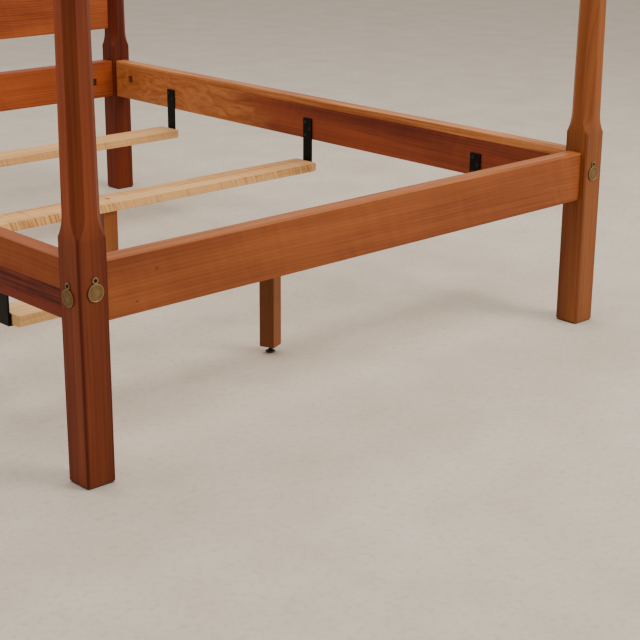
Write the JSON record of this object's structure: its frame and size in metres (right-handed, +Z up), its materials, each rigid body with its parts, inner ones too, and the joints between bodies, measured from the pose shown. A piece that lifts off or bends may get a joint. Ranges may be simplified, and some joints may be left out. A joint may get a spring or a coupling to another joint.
{
  "type": "pencil post bed",
  "caption": "Four-post bed with tapered octagonal posts, bolted rails with pivoting brass bolt covers, slats on steel hangers and swivelling centre legs.",
  "frame": {"origin": "middle of the bed's footprint, on the floor", "axes": "+X to the right seen from the foot, +Y from the foot to the head, +Z up"},
  "size_m": [1.6744, 2.1854, 2.03],
  "materials": {
    "post_cherry": "satin lacquered cherry, grain along the post",
    "rail_cherry": "satin lacquered cherry, grain along the rail",
    "headboard_cherry": "satin lacquered cherry, grain across the bed",
    "leg_cherry": "plain tan cherry",
    "slat_maple": "bare planed maple with curly figure",
    "hanger_black": "satin black painted steel",
    "screw_black": "blackened steel",
    "cover_brass": "aged satin brass",
    "insert_brass": "plain brass",
    "bolt_steel": "zinc plated",
    "leg_bolt_steel": "zinc plated",
    "leveller_black": "black nylon pad with a dark plated stud",
    "glide_black": "black nylon"
  },
  "bodies": {
    "frame": {"post_foot_left": "post_cherry", "post_foot_right": "post_cherry", "post_head_left": "post_cherry", "post_head_right": "post_cherry", "rail_foot": "rail_cherry", "rail_head": "rail_cherry", "rail_left": "rail_cherry", "rail_right": "rail_cherry", "headboard": "headboard_cherry", "slat_a": "slat_maple", "slat_b": "slat_maple", "slat_c": "slat_maple", "hanger_left_a": "hanger_black", "hanger_left_b": "hanger_black", "hanger_left_c": "hanger_black", "hanger_right_a": "hanger_black", "hanger_right_b": "hanger_black", "hanger_right_c": "hanger_black", "bed_bolts": "bolt_steel", "bed_bolt_washers": "bolt_steel", "bed_bolt_nuts": "bolt_steel", "cover_screws": "screw_black", "hanger_screws": "screw_black", "slat_screws": "screw_black", "leg_bolts": "leg_bolt_steel", "post_glides": "glide_black"},
    "cover_foot_left_end": {"cover_foot_left_end": "cover_brass"},
    "cover_foot_left_side": {"cover_foot_left_side": "cover_brass"},
    "cover_foot_right_end": {"cover_foot_right_end": "cover_brass"},
    "cover_foot_right_side": {"cover_foot_right_side": "cover_brass"},
    "cover_head_left_end": {"cover_head_left_end": "cover_brass"},
    "cover_head_left_side": {"cover_head_left_side": "cover_brass"},
    "cover_head_right_end": {"cover_head_right_end": "cover_brass"},
    "cover_head_right_side": {"cover_head_right_side": "cover_brass"},
    "leg_a": {"centre_leg_a": "leg_cherry", "leg_inserts_a": "insert_brass"},
    "foot_a": {"leveller_a": "leveller_black"},
    "leg_b": {"centre_leg_b": "leg_cherry", "leg_inserts_b": "insert_brass"},
    "foot_b": {"leveller_b": "leveller_black"},
    "leg_c": {"centre_leg_c": "leg_cherry", "leg_inserts_c": "insert_brass"},
    "foot_c": {"leveller_c": "leveller_black"}
  },
  "joints": [
    {"name": "cover_foot_left_end_turn", "type": "hinge", "parent": "frame", "child": "cover_foot_left_end", "pos_m": [-0.8325, -1.0505, 0.428], "axis": [-1, 0, 0], "continuous": true},
    {"name": "cover_foot_left_side_turn", "type": "hinge", "parent": "frame", "child": "cover_foot_left_side", "pos_m": [-0.795, -1.088, 0.44], "axis": [0, -1, 0], "continuous": true},
    {"name": "cover_foot_right_end_turn", "type": "hinge", "parent": "frame", "child": "cover_foot_right_end", "pos_m": [0.8325, -1.0505, 0.428], "axis": [1, 0, 0], "continuous": true},
    {"name": "cover_foot_right_side_turn", "type": "hinge", "parent": "frame", "child": "cover_foot_right_side", "pos_m": [0.795, -1.088, 0.44], "axis": [0, -1, 0], "continuous": true},
    {"name": "cover_head_left_end_turn", "type": "hinge", "parent": "frame", "child": "cover_head_left_end", "pos_m": [-0.8325, 1.0505, 0.428], "axis": [-1, 0, 0], "continuous": true},
    {"name": "cover_head_left_side_turn", "type": "hinge", "parent": "frame", "child": "cover_head_left_side", "pos_m": [-0.795, 1.088, 0.44], "axis": [0, 1, 0], "continuous": true},
    {"name": "cover_head_right_end_turn", "type": "hinge", "parent": "frame", "child": "cover_head_right_end", "pos_m": [0.8325, 1.0505, 0.428], "axis": [1, 0, 0], "continuous": true},
    {"name": "cover_head_right_side_turn", "type": "hinge", "parent": "frame", "child": "cover_head_right_side", "pos_m": [0.795, 1.088, 0.44], "axis": [0, 1, 0], "continuous": true},
    {"name": "leg_a_swivel", "type": "hinge", "parent": "frame", "child": "leg_a", "pos_m": [0, 0.696, 0.2], "axis": [0, 0, 1], "range_deg": [-90, 90]},
    {"name": "leveller_a_screw", "type": "slide", "parent": "leg_a", "child": "foot_a", "axis": [0, 0, 1], "range_m": [-0.012, 0.009]},
    {"name": "leg_b_swivel", "type": "hinge", "parent": "frame", "child": "leg_b", "pos_m": [0, -0.002, 0.2], "axis": [0, 0, 1], "range_deg": [-90, 90]},
    {"name": "leveller_b_screw", "type": "slide", "parent": "leg_b", "child": "foot_b", "axis": [0, 0, 1], "range_m": [-0.012, 0.009]},
    {"name": "leg_c_swivel", "type": "hinge", "parent": "frame", "child": "leg_c", "pos_m": [0, -0.7, 0.2], "axis": [0, 0, 1], "range_deg": [-90, 90]},
    {"name": "leveller_c_screw", "type": "slide", "parent": "leg_c", "child": "foot_c", "axis": [0, 0, 1], "range_m": [-0.012, 0.009]}
  ]
}
